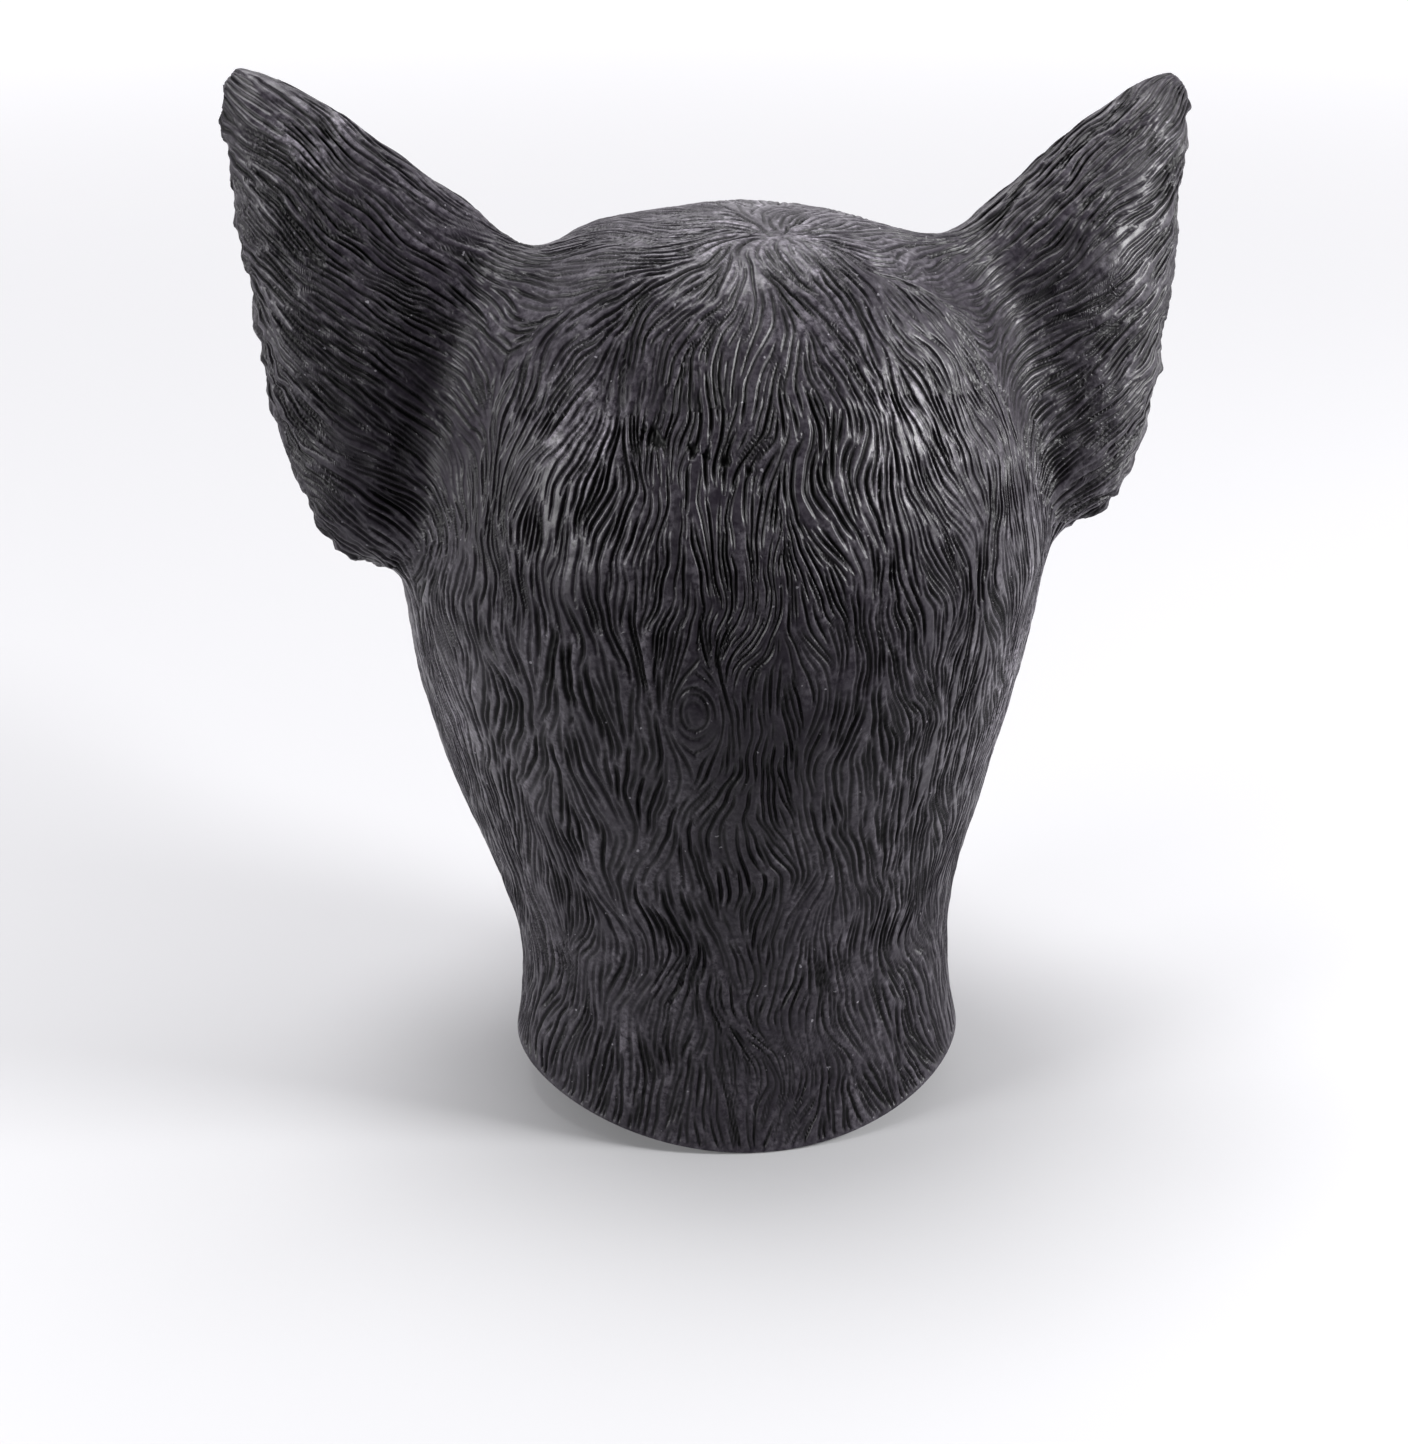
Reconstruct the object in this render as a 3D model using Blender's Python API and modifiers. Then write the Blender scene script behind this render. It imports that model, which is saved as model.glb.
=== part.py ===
"""Full-head latex animal mask: one hollow slush-cast skin with a muzzle, two hollow ears and an open neck.

Metres, +Z up, the muzzle points along -Y and the wearer's left is +X.
The origin is the inside of the crown, where the top of the wearer's head bears.
"""

from collections import namedtuple
from math import cos, pi, radians, sin, sqrt

import bmesh
import bpy
from mathutils import Vector

# Skin
WALL = 0.002

# Head, measured on the outside of the skin
SKIN_LENGTH = 0.326
HEAD_WIDTH = 0.260
BACK_DEPTH = 0.108
FRONT_DEPTH = 0.104
NAPE_DROP = 0.018
THROAT_DROP = 0.012

# Muzzle
MUZZLE_LENGTH = 0.116
MUZZLE_WIDTH = 0.114
MUZZLE_HEIGHT = 0.112
MUZZLE_TOP_DROP = 0.102
JAW_SET_BACK = 0.014
NOSE_LENGTH = 0.011
NOSE_WIDTH = 0.043
NOSE_HEIGHT = 0.029
NOSE_TAPER = 0.35
NOSE_ARCH = 0.12
NOSTRIL_RIM = 0.002
NOSTRIL_DEPTH = 0.006

# Ears. The two lean a little differently in the soft casting.
LEFT_EAR_LENGTH = 0.146
RIGHT_EAR_LENGTH = 0.135
LEFT_EAR_WIDTH = 0.130
RIGHT_EAR_WIDTH = 0.121
LEFT_EAR_LEAN = radians(33.5)
RIGHT_EAR_LEAN = radians(35.5)
EAR_SWEEP = radians(17.8)
EAR_THICKNESS = 0.013
EAR_CUP = 0.016

# Where an ear is rooted. out is a share of half HEAD_WIDTH, forward of FRONT_DEPTH, drop of SKIN_LENGTH.
EarRoot = namedtuple("EarRoot", "out forward drop")
Ear = namedtuple("Ear", "hand length width lean root")
EARS = (
    Ear(1, LEFT_EAR_LENGTH, LEFT_EAR_WIDTH, LEFT_EAR_LEAN, EarRoot(0.777, 0.058, 0.213)),
    Ear(-1, RIGHT_EAR_LENGTH, RIGHT_EAR_WIDTH, RIGHT_EAR_LEAN, EarRoot(0.800, 0.058, 0.213)),
)

# Cage: the crown is a square grid of faces, and its rim is drawn down row by row
CROWN_FACES = 6
COLUMNS = 4 * CROWN_FACES
SKIN_SMOOTHING = 1
EAR_COLUMNS = (-1, 0, 1)
EAR_ROWS = (0, 1, 2, 3, 4)
MUZZLE_COLUMNS = (-2, -1, 0, 1, 2)
MUZZLE_ROWS = (3, 4, 5, 6, 7)
EYE_ROWS = (2, 3)
EYE_COLUMNS = (1, 2)

# Rows of the head from the crown's rim to the hem. drop is a share of SKIN_LENGTH, width of HEAD_WIDTH,
# middle (where the row is widest) and front of FRONT_DEPTH, back of BACK_DEPTH.
HeadRow = namedtuple("HeadRow", "drop width middle back front")
HEAD_ROWS = (
    HeadRow(0.040, 0.53, 0.05, 0.52, 0.60),
    HeadRow(0.130, 0.755, 0.05, 0.74, 0.79),
    HeadRow(0.245, 0.87, 0.10, 0.90, 0.92),
    HeadRow(0.325, 0.93, 0.16, 0.98, 0.94),
    HeadRow(0.409, 0.965, 0.25, 1.00, 0.98),
    HeadRow(0.500, 0.965, 0.38, 0.97, 0.98),
    HeadRow(0.607, 0.915, 0.44, 0.89, 0.95),
    HeadRow(0.713, 0.84, 0.40, 0.81, 0.86),
    HeadRow(0.812, 0.71, 0.18, 0.77, 0.76),
    HeadRow(0.905, 0.645, -0.12, 0.76, 0.71),
    HeadRow(1.000, 0.690, -0.14, 0.82, 0.75),
)

# Forms raised on the face, on both sides. out stands off the head and rise goes up, both shares of MUZZLE_WIDTH.
FaceForm = namedtuple("FaceForm", "row column out rise")
FACE_FORMS = (
    FaceForm(1, 2, 0.03, 0.00),
    FaceForm(2, 0, 0.00, 0.00),
    FaceForm(2, 1, 0.13, -0.05),
    FaceForm(2, 2, 0.14, 0.02),
    FaceForm(2, 3, 0.05, 0.03),
    FaceForm(3, 0, 0.10, 0.06),
    FaceForm(3, 1, 0.00, -0.01),
    FaceForm(3, 2, -0.02, 0.03),
    FaceForm(4, 3, 0.08, 0.00),
    FaceForm(5, 3, 0.08, 0.00),
    FaceForm(6, 3, 0.06, 0.00),
    FaceForm(5, 4, 0.05, 0.00),
)

# Sections of the muzzle from the face to the nose. reach is a share of MUZZLE_LENGTH, width of MUZZLE_WIDTH,
# top and bottom are shares of MUZZLE_HEIGHT below the muzzle's top.
MuzzleSection = namedtuple("MuzzleSection", "reach width top bottom")
MUZZLE_SECTIONS = (
    MuzzleSection(0.09, 1.12, 0.02, 1.00),
    MuzzleSection(0.30, 0.90, 0.12, 0.97),
    MuzzleSection(0.53, 0.74, 0.19, 0.92),
    MuzzleSection(0.75, 0.62, 0.24, 0.86),
    MuzzleSection(0.92, 0.52, 0.27, 0.79),
    MuzzleSection(1.00, 0.42, 0.29, 0.73),
)

# Widths down a muzzle section, as shares of the section's own, and how much of its height each row lies below
# the top. The lips part at the middle row.
MuzzleRow = namedtuple("MuzzleRow", "width below")
MUZZLE_SHAPE = (
    MuzzleRow(0.58, 0.00),
    MuzzleRow(0.98, 0.26),
    MuzzleRow(0.93, 0.60),
    MuzzleRow(0.86, 0.72),
    MuzzleRow(0.46, 1.00),
)

# Sections of the nose from the muzzle's end forward. reach is a share of NOSE_LENGTH, size of its width and height.
NoseSection = namedtuple("NoseSection", "reach size")
NOSE_SECTIONS = (
    NoseSection(0.45, 1.00),
    NoseSection(0.90, 0.94),
    NoseSection(1.00, 0.66),
)

# Sections of an ear from its root to its tip, each a line from the inner to the outer rim.
# along is a share of the ear's length, across of its width, thick of EAR_THICKNESS, cup of EAR_CUP.
EarSection = namedtuple("EarSection", "inner_along inner_across outer_along outer_across thick cup")
EAR_SECTIONS = (
    EarSection(0.27, -0.40, -0.17, 0.54, 1.60, 0.60),
    EarSection(0.40, -0.365, 0.02, 0.54, 1.15, 1.00),
    EarSection(0.58, -0.285, 0.30, 0.44, 1.00, 1.00),
    EarSection(0.76, -0.21, 0.58, 0.29, 0.90, 0.75),
    EarSection(0.91, -0.12, 0.83, 0.14, 0.75, 0.40),
    EarSection(1.00, -0.04, 0.98, 0.05, 0.55, 0.10),
)
RIM_INSET = 0.90


def grid_angle(x, y):
    """Angle round the vertical axis for a point on the crown grid's square rim, 0 at the front."""
    if abs(y) >= abs(x):
        quarter = x / abs(y) * pi / 4
        return quarter if y < 0 else pi - quarter
    quarter = y / abs(x) * pi / 4
    return (pi / 2 + quarter) if x > 0 else -(pi / 2 + quarter)


def head_point(row, angle):
    """Point on the outside of the head for a row of the table, with the angle taken from the front."""
    middle = -row.middle * FRONT_DEPTH
    x = row.width * HEAD_WIDTH / 2 * sin(angle)
    if cos(angle) > 0:
        y = middle - (row.front * FRONT_DEPTH + middle) * cos(angle)
    else:
        y = middle - (row.back * BACK_DEPTH - middle) * cos(angle)
    drop = row.drop * SKIN_LENGTH
    hem = row.drop**6
    extra = THROAT_DROP if cos(angle) > 0 else NAPE_DROP
    return Vector((x, y, WALL - drop - extra * hem * cos(angle) ** 2))


def crown_point(u, v):
    """Point on the crown, from grid places u and v that run from -1 to 1."""
    rim = HEAD_ROWS[0]
    x = u * sqrt(1 - v * v / 2)
    y = v * sqrt(1 - u * u / 2)
    reach = rim.front * FRONT_DEPTH if v < 0 else rim.back * BACK_DEPTH
    dome = 1 - (x * x + y * y)
    return Vector((x * rim.width * HEAD_WIDTH / 2, y * reach, WALL - rim.drop * SKIN_LENGTH * (1 - dome)))


def region_faces(cage, verts):
    """Faces whose corners all lie in verts."""
    return [face for face in cage.faces if all(corner in verts for corner in face.verts)]


def head_cage(cage, row_layer, column_layer):
    """Crown grid, with its rim drawn down to the hem. Returns the rows of corners by column number."""
    made = bmesh.ops.create_grid(cage, x_segments=CROWN_FACES, y_segments=CROWN_FACES, size=1)
    places = {corner: (corner.co.x, corner.co.y) for corner in made["verts"]}
    rim_edges = [edge for edge in cage.edges if edge.is_boundary]
    rows = [{}]
    for corner in {corner for edge in rim_edges for corner in edge.verts}:
        column = round(grid_angle(*places[corner]) / (2 * pi) * COLUMNS) % COLUMNS
        corner[column_layer] = column
        rows[0][column] = corner
    for corner, (u, v) in places.items():
        corner.co = crown_point(u, v)
    for number, row in enumerate(HEAD_ROWS):
        if number > 0:
            drawn = bmesh.ops.extrude_edge_only(cage, edges=rim_edges)["geom"]
            rim_edges = [item for item in drawn if isinstance(item, bmesh.types.BMEdge) and item.is_boundary]
            rows.append({c[column_layer]: c for c in drawn if isinstance(c, bmesh.types.BMVert)})
        for column, corner in rows[number].items():
            corner.co = head_point(row, column * 2 * pi / COLUMNS)
            corner[row_layer] = number
    return rows


def draw_out(cage, faces):
    """Extrudes a patch of faces in place. Returns the new patch's faces and corners."""
    made = bmesh.ops.extrude_face_region(cage, geom=faces)["geom"]
    old = [face for face in faces if face.is_valid]
    bmesh.ops.delete(cage, geom=old, context="FACES_ONLY")
    new_faces = [item for item in made if isinstance(item, bmesh.types.BMFace)]
    return new_faces, {corner for face in new_faces for corner in face.verts}


def muzzle_point(section, column, row):
    """Point on a muzzle section. column runs from -1 to 1, and row counts down its rows of corners."""
    shape = MUZZLE_SHAPE[row]
    top = -MUZZLE_TOP_DROP - section.top * MUZZLE_HEIGHT
    height = (section.bottom - section.top) * MUZZLE_HEIGHT
    arch = 0.10 * height * column * column * (1 if row == 0 else -1 if row == len(MUZZLE_SHAPE) - 1 else 0)
    x = column * shape.width * section.width * MUZZLE_WIDTH / 2
    y = -FRONT_DEPTH - section.reach * (MUZZLE_LENGTH - (JAW_SET_BACK if row > 2 else 0))
    return Vector((x, y, top - shape.below * height - arch))


def nose_point(section, column, row):
    """Point on a nose section, wide above and narrow below. row runs from 0 at the top to 1."""
    end = MUZZLE_SECTIONS[-1]
    top = -MUZZLE_TOP_DROP - end.top * MUZZLE_HEIGHT
    width = NOSE_WIDTH * section.size * (1 - NOSE_TAPER * row * row)
    middle = top - NOSE_HEIGHT / 2
    z = middle + NOSE_HEIGHT * section.size * (0.5 - row) - NOSE_ARCH * NOSE_HEIGHT * column * column * (1 - row)
    y = -FRONT_DEPTH - MUZZLE_LENGTH - section.reach * NOSE_LENGTH + 0.25 * NOSE_LENGTH * column * column
    return Vector((column * width / 2, y, z))


def signed_column(corner, column_layer):
    """Column number counted from the front, negative on the wearer's right."""
    return (corner[column_layer] + COLUMNS // 2) % COLUMNS - COLUMNS // 2


def add_muzzle(cage, rows, row_layer, column_layer):
    """Draws the muzzle out of the face and the nose out of its end, and presses in two nostrils."""
    patch = {rows[row][column % COLUMNS] for row in MUZZLE_ROWS for column in MUZZLE_COLUMNS}
    faces = region_faces(cage, patch)
    reach = MUZZLE_COLUMNS[-1]
    for section in MUZZLE_SECTIONS:
        faces, corners = draw_out(cage, faces)
        for corner in corners:
            row = corner[row_layer] - MUZZLE_ROWS[0]
            corner.co = muzzle_point(section, signed_column(corner, column_layer) / reach, row)
    lip = MUZZLE_ROWS[2]
    faces = [face for face in faces if max(corner[row_layer] for corner in face.verts) <= lip]
    for section in NOSE_SECTIONS:
        faces, corners = draw_out(cage, faces)
        for corner in corners:
            row = (corner[row_layer] - MUZZLE_ROWS[0]) / 2
            corner.co = nose_point(section, signed_column(corner, column_layer) / reach, row)
    bmesh.ops.recalc_face_normals(cage, faces=cage.faces)
    lower = [face for face in faces if max(corner[row_layer] for corner in face.verts) == lip]
    nostrils = sorted(lower, key=lambda face: abs(face.calc_center_median().x))[-2:]
    bmesh.ops.inset_individual(cage, faces=nostrils, thickness=NOSTRIL_RIM, depth=0)
    bmesh.ops.inset_individual(cage, faces=nostrils, thickness=NOSTRIL_RIM, depth=-NOSTRIL_DEPTH)


def raise_face_forms(rows):
    """Moves the corners of the brow, eye sockets and cheeks off the plain head."""
    for form in FACE_FORMS:
        for column in {form.column, -form.column}:
            corner = rows[form.row][column % COLUMNS]
            angle = column * 2 * pi / COLUMNS
            out = form.out * MUZZLE_WIDTH
            corner.co += Vector((out * sin(angle), -out * cos(angle), form.rise * MUZZLE_WIDTH))


def ear_axes(lean):
    """Directions along an ear on the +X side, across it from its inner to its outer rim, and out of its back."""
    along = Vector((sin(lean) * cos(EAR_SWEEP), -sin(EAR_SWEEP), cos(lean) * cos(EAR_SWEEP)))
    across = Vector((cos(lean), 0, -sin(lean)))
    return along, across, along.cross(across)


def ear_point(ear, section, across_share, side):
    """Point on an ear section. across_share runs from -1 at the inner rim to 1, side from -1 in front to 1."""
    along_axis, across_axis, back_axis = ear_axes(ear.lean)
    root = Vector((ear.root.out * HEAD_WIDTH / 2, -ear.root.forward * FRONT_DEPTH, -ear.root.drop * SKIN_LENGTH))
    spread = across_share * (RIM_INSET if side and abs(across_share) == 1 else 1)
    share = (spread + 1) / 2
    along = section.inner_along + (section.outer_along - section.inner_along) * share
    across = section.inner_across + (section.outer_across - section.inner_across) * share
    bow = section.cup * EAR_CUP * (1 - spread * spread)
    back = bow + side * section.thick * EAR_THICKNESS / 2
    place = root + along_axis * along * ear.length + across_axis * across * ear.width + back_axis * back
    return Vector((place.x * ear.hand, place.y, place.z))


def add_ear(cage, rows, row_layer, column_layer, ear):
    """Draws an ear out of the side of the head. Its hand is 1 for the wearer's left at +X, -1 for the right."""
    centre = ear.hand * COLUMNS // 4
    patch = {rows[row][(centre + column) % COLUMNS] for row in EAR_ROWS for column in EAR_COLUMNS}
    faces = region_faces(cage, patch)
    mid_row = (EAR_ROWS[0] + EAR_ROWS[-1]) / 2
    half_rows = (EAR_ROWS[-1] - EAR_ROWS[0]) / 2
    for section in EAR_SECTIONS:
        faces, corners = draw_out(cage, faces)
        for corner in corners:
            side = (corner[column_layer] - centre % COLUMNS) * ear.hand
            corner.co = ear_point(ear, section, (corner[row_layer] - mid_row) / half_rows, side)


def cut_eyes(cage, rows):
    """Opens an eye hole on each side of the muzzle's root."""
    for hand in (1, -1):
        corners = {rows[row][hand * column % COLUMNS] for row in EYE_ROWS for column in EYE_COLUMNS}
        bmesh.ops.delete(cage, geom=region_faces(cage, corners), context="FACES_ONLY")


def latex():
    """Black latex with a satin surface."""
    material = bpy.data.materials.new("black_latex")
    material.use_nodes = True
    shader = material.node_tree.nodes["Principled BSDF"]
    shader.inputs["Base Color"].default_value = (0.035, 0.033, 0.037, 1)
    shader.inputs["Roughness"].default_value = 0.5
    shader.inputs["Metallic"].default_value = 0
    return material


def mask_skin():
    """The whole mask as one smoothed wall of latex, open at the neck and the eyes."""
    cage = bmesh.new()
    row_layer = cage.verts.layers.int.new("row")
    column_layer = cage.verts.layers.int.new("column")
    rows = head_cage(cage, row_layer, column_layer)
    raise_face_forms(rows)
    add_muzzle(cage, rows, row_layer, column_layer)
    for ear in EARS:
        add_ear(cage, rows, row_layer, column_layer, ear)
    cut_eyes(cage, rows)
    bmesh.ops.recalc_face_normals(cage, faces=cage.faces)
    mesh = bpy.data.meshes.new("mask_skin")
    cage.to_mesh(mesh)
    cage.free()
    mesh.materials.append(latex())
    skin = bpy.data.objects.new("mask_skin", mesh)
    smoothing = skin.modifiers.new("smoothing", "SUBSURF")
    smoothing.levels = SKIN_SMOOTHING
    smoothing.render_levels = SKIN_SMOOTHING
    wall = skin.modifiers.new("wall", "SOLIDIFY")
    wall.thickness = WALL
    wall.offset = -1
    mesh.shade_smooth()
    return skin


def build():
    """Clears the scene and builds the mask in a collection of its own."""
    for obj in list(bpy.data.objects):
        bpy.data.objects.remove(obj)
    collection = bpy.data.collections.new("latex_animal_mask")
    bpy.context.scene.collection.children.link(collection)
    collection.objects.link(mask_skin())


build()
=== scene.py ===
# Latex animal mask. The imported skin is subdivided, combed with a flow of hair and carved strand by strand.
import math
import random
import time

import bmesh
import bpy
import numpy as np
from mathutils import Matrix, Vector, noise
from mathutils.bvhtree import BVHTree
from mathutils.kdtree import KDTree


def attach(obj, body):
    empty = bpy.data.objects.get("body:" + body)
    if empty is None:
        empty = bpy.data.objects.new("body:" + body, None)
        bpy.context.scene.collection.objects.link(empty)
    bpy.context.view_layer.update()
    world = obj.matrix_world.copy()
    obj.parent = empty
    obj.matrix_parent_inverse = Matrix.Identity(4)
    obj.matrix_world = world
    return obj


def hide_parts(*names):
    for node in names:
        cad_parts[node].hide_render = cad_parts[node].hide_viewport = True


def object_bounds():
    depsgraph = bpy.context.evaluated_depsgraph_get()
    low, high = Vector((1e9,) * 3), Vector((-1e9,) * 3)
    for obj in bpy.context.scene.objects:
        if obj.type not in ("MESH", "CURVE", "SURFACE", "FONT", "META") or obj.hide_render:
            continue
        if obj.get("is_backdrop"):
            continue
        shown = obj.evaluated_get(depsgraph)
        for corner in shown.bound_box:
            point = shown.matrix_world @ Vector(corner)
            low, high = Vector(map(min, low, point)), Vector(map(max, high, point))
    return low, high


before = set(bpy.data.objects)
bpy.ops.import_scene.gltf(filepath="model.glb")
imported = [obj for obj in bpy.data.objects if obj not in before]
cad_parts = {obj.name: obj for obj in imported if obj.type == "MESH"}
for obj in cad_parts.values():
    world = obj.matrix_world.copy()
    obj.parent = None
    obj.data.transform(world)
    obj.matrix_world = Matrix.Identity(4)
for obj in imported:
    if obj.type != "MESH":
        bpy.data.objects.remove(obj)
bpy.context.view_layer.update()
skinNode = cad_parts["mask_skin"]
started = time.time()


def tell(*words):
    print(f"{time.time() - started:5.1f} s", *words)


tell("frame loaded")


# Camera: behind the mask and a little above it, on the wearer's left of the middle
shot = {
    "azimuth": 171,
    "elevation": 24,
    "distance": 1.10,  # m
    "aim": (0.013, 0.010, -0.195),
    "focalPixels": 2857,
    "pictureHeight": 1444,  # pixels
    "sensor": 36,  # mm
    "farthest": 40,  # m
}


def placeCamera(shot):
    azimuth, elevation = math.radians(shot["azimuth"]), math.radians(shot["elevation"])
    level = math.cos(elevation)
    away = Vector((math.sin(azimuth) * level, -math.cos(azimuth) * level, math.sin(elevation)))
    camera = bpy.data.objects.new("camera", bpy.data.cameras.new("camera"))
    camera.location = Vector(shot["aim"]) + away * shot["distance"]
    camera.rotation_euler = (-away).to_track_quat("-Z", "Y").to_euler()
    camera.data.sensor_width = shot["sensor"]
    camera.data.lens = shot["focalPixels"] * shot["sensor"] / shot["pictureHeight"]
    camera.data.clip_end = shot["farthest"]
    bpy.context.scene.collection.objects.link(camera)
    bpy.context.scene.camera = camera


placeCamera(shot)


# Small helpers for arrays of places and directions
def smooth(low, high, value):
    t = np.clip((value - low) / (high - low), 0, 1)
    return t * t * (3 - 2 * t)


def unit(v):
    return v / np.maximum(np.linalg.norm(v, axis=1, keepdims=True), 1e-9)


def inSurface(v, normals):
    # what is left of v once it is pressed flat on the surface
    return v - normals * np.sum(v * normals, axis=1, keepdims=True)


def flat(v, normals):
    return unit(inSurface(v, normals))


def vertexArray(mesh, name, width=3):
    values = np.empty(len(mesh.vertices) * width, dtype=np.float32)
    mesh.vertices.foreach_get(name, values)
    return values.reshape(-1, width).astype(float)


def noiseAt(places, size, seed):
    shift = Vector((seed * 7.3, seed * 3.1, seed * 5.7))  # far enough off to be another pattern
    return np.array([noise.noise(Vector(p) / size + shift) for p in places])


def near(places, centre, reach):
    return np.exp(-np.sum((places - np.array(centre)) ** 2, axis=1) / reach ** 2)


def treeOf(points):
    tree = KDTree(len(points))
    for index, point in enumerate(points):
        tree.insert(point, index)
    tree.balance()
    return tree


# The two skins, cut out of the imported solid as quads
skins = {
    "weld": 0.00001,  # m
    "join": (60, 70),  # degrees: triangles are joined up to this bend and this slant
    "outsideFrom": (0, 0, 0.0025),  # on top of the crown
    "insideFrom": (0, 0, 0),
    "rim": 80,  # degrees: the outer skin ends at an edge this sharp
}


def quadsOf(mesh):
    bm = bmesh.new()
    bm.from_mesh(mesh)
    bmesh.ops.remove_doubles(bm, verts=bm.verts, dist=skins["weld"])
    bend, slant = [math.radians(angle) for angle in skins["join"]]
    bmesh.ops.join_triangles(bm, faces=bm.faces, angle_face_threshold=bend, angle_shape_threshold=slant)
    return bm


def facesAround(bm, point, sharpest, barred=()):
    free = [face for face in bm.faces if face not in barred]
    start = min(free, key=lambda face: (face.calc_center_median() - point).length)
    reached, front = {start}, [start]
    while front:
        for edge in front.pop().edges:
            if len(edge.link_faces) == 2 and edge.calc_face_angle(0) < sharpest:
                for other in edge.link_faces:
                    if other not in reached and other not in barred:
                        reached.add(other)
                        front.append(other)
    return reached


def dropFaces(bm, faces):
    bmesh.ops.delete(bm, geom=faces, context="FACES")


def splitSkins(mesh):
    # the inner skin is whatever the inside of the crown reaches before the outer skin, with the rims
    outer = quadsOf(mesh)
    outside = facesAround(outer, Vector(skins["outsideFrom"]), math.radians(skins["rim"]))
    inside = facesAround(outer, Vector(skins["insideFrom"]), math.pi, barred=outside)
    innerIds = {face.index for face in inside}
    inner = outer.copy()
    dropFaces(outer, [face for face in outer.faces if face.index in innerIds])
    dropFaces(inner, [face for face in inner.faces if face.index not in innerIds])
    return outer, inner


def meshOf(bm, name):
    mesh = bpy.data.meshes.new(name)
    bm.to_mesh(mesh)
    return mesh


def subdivided(bm, levels):
    # Catmull-Clark through a modifier, and back into a bmesh
    holder = bpy.data.objects.new("holder", meshOf(bm, "holder"))
    bpy.context.scene.collection.objects.link(holder)
    rounding = holder.modifiers.new("rounding", "SUBSURF")
    rounding.levels = rounding.render_levels = levels
    depsgraph = bpy.context.evaluated_depsgraph_get()
    result = bmesh.new()
    result.from_mesh(holder.evaluated_get(depsgraph).to_mesh())
    bpy.data.objects.remove(holder)
    return result


# Where things lie on the mask, in metres
headHalfWidths = {  # by height
    -0.16: 0.124, -0.13: 0.124, -0.104: 0.120, -0.078: 0.112, -0.040: 0.097, -0.011: 0.067, 0.0: 0.056,
}
lobe = {"end": -0.22, "fade": 2.2}  # past its lower end an ear fades into the cheek, this many times as fast
ears = {
    "left": {"side": 1, "root": (0.101, -0.006, -0.0694), "length": 0.146, "width": 0.130, "lean": 33.5},
    "right": {"side": -1, "root": (0.104, -0.006, -0.0694), "length": 0.135, "width": 0.121, "lean": 35.5},
}
earSweep = math.radians(17.8)


def earAxes(ear):
    lean = math.radians(ear["lean"])
    level = math.cos(earSweep)
    along = Vector((math.sin(lean) * level, -math.sin(earSweep), math.cos(lean) * level))
    across = Vector((math.cos(lean), 0, -math.sin(lean)))
    return np.array(along), np.array(across), np.array(along.cross(across))


def earPlace(places, ear):
    # along runs 0 to 1 from root to tip, across from the inner rim to the outer rim, back is in metres,
    # and off is how far the place lies inside the head, below 0 out on the ear
    mirrored = places * np.array([ear["side"], 1, 1])
    along, across, back = earAxes(ear)
    offset = mirrored - np.array(ear["root"])
    a, c, b = offset @ along / ear["length"], offset @ across / ear["width"], offset @ back
    halfHead = np.interp(places[:, 2], list(headHalfWidths), list(headHalfWidths.values()))
    below = np.maximum(lobe["end"] - a, 0) * ear["length"]
    return a, c, b, np.where(mirrored[:, 0] > 0, halfHead - mirrored[:, 0] + lobe["fade"] * below, 1.0)


# Combing: which way the hair lies at any place on the outer skin
comb = {
    "whorl": (-0.012, 0.024, -0.002),
    "whorlReach": (0.045, 0.14),  # m from it, where the hair turns from away from it to straight down
    "outwards": 0.10,  # and a little outwards
    "noseTip": (0, -0.245, -0.148),
    "muzzleFrom": (-0.100, -0.128),  # y
    "cheekFrom": ((0.00, -0.08), (-0.075, -0.125)),  # y and z
    "cheekLie": (0.25, 0.9, -0.35),
    "cheekTurn": (0.7, 0.65),  # taken off its last two further down, over this height
    "cheekLow": (-0.11, -0.25),
    "earBack": 0.004,  # m behind the ear's middle plane
    "earTurn": (25, 15, 6),  # degrees outwards on the back, how much less at the tip, and in the hollow
    "earReach": (-0.008, 0.030),  # the ear's own lie fades into the head's over this distance
    "earHair": (-0.004, 0.012),  # and its calmer, denser hair over this one
    "curl": (0.030, 0.099, -0.152),  # one lock low on the back turns round itself
    "curlReach": 0.012,
    "curlHeight": 1.6,  # times its width
    "curlFaint": 0.02,  # further out than this share it isn't felt
    "curlHold": 1.3,  # how firmly it turns the hair
    "curlCalm": 1.5,  # and stills its waves
    "wave": 1.0,  # radians
    "waveSize": 0.026,  # m from bend to bend
    "kink": 0.40,
    "kinkSize": 0.008,
    "earCalm": (0.6, 0.3),  # less wave and kink by this share on the ears
}


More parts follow.
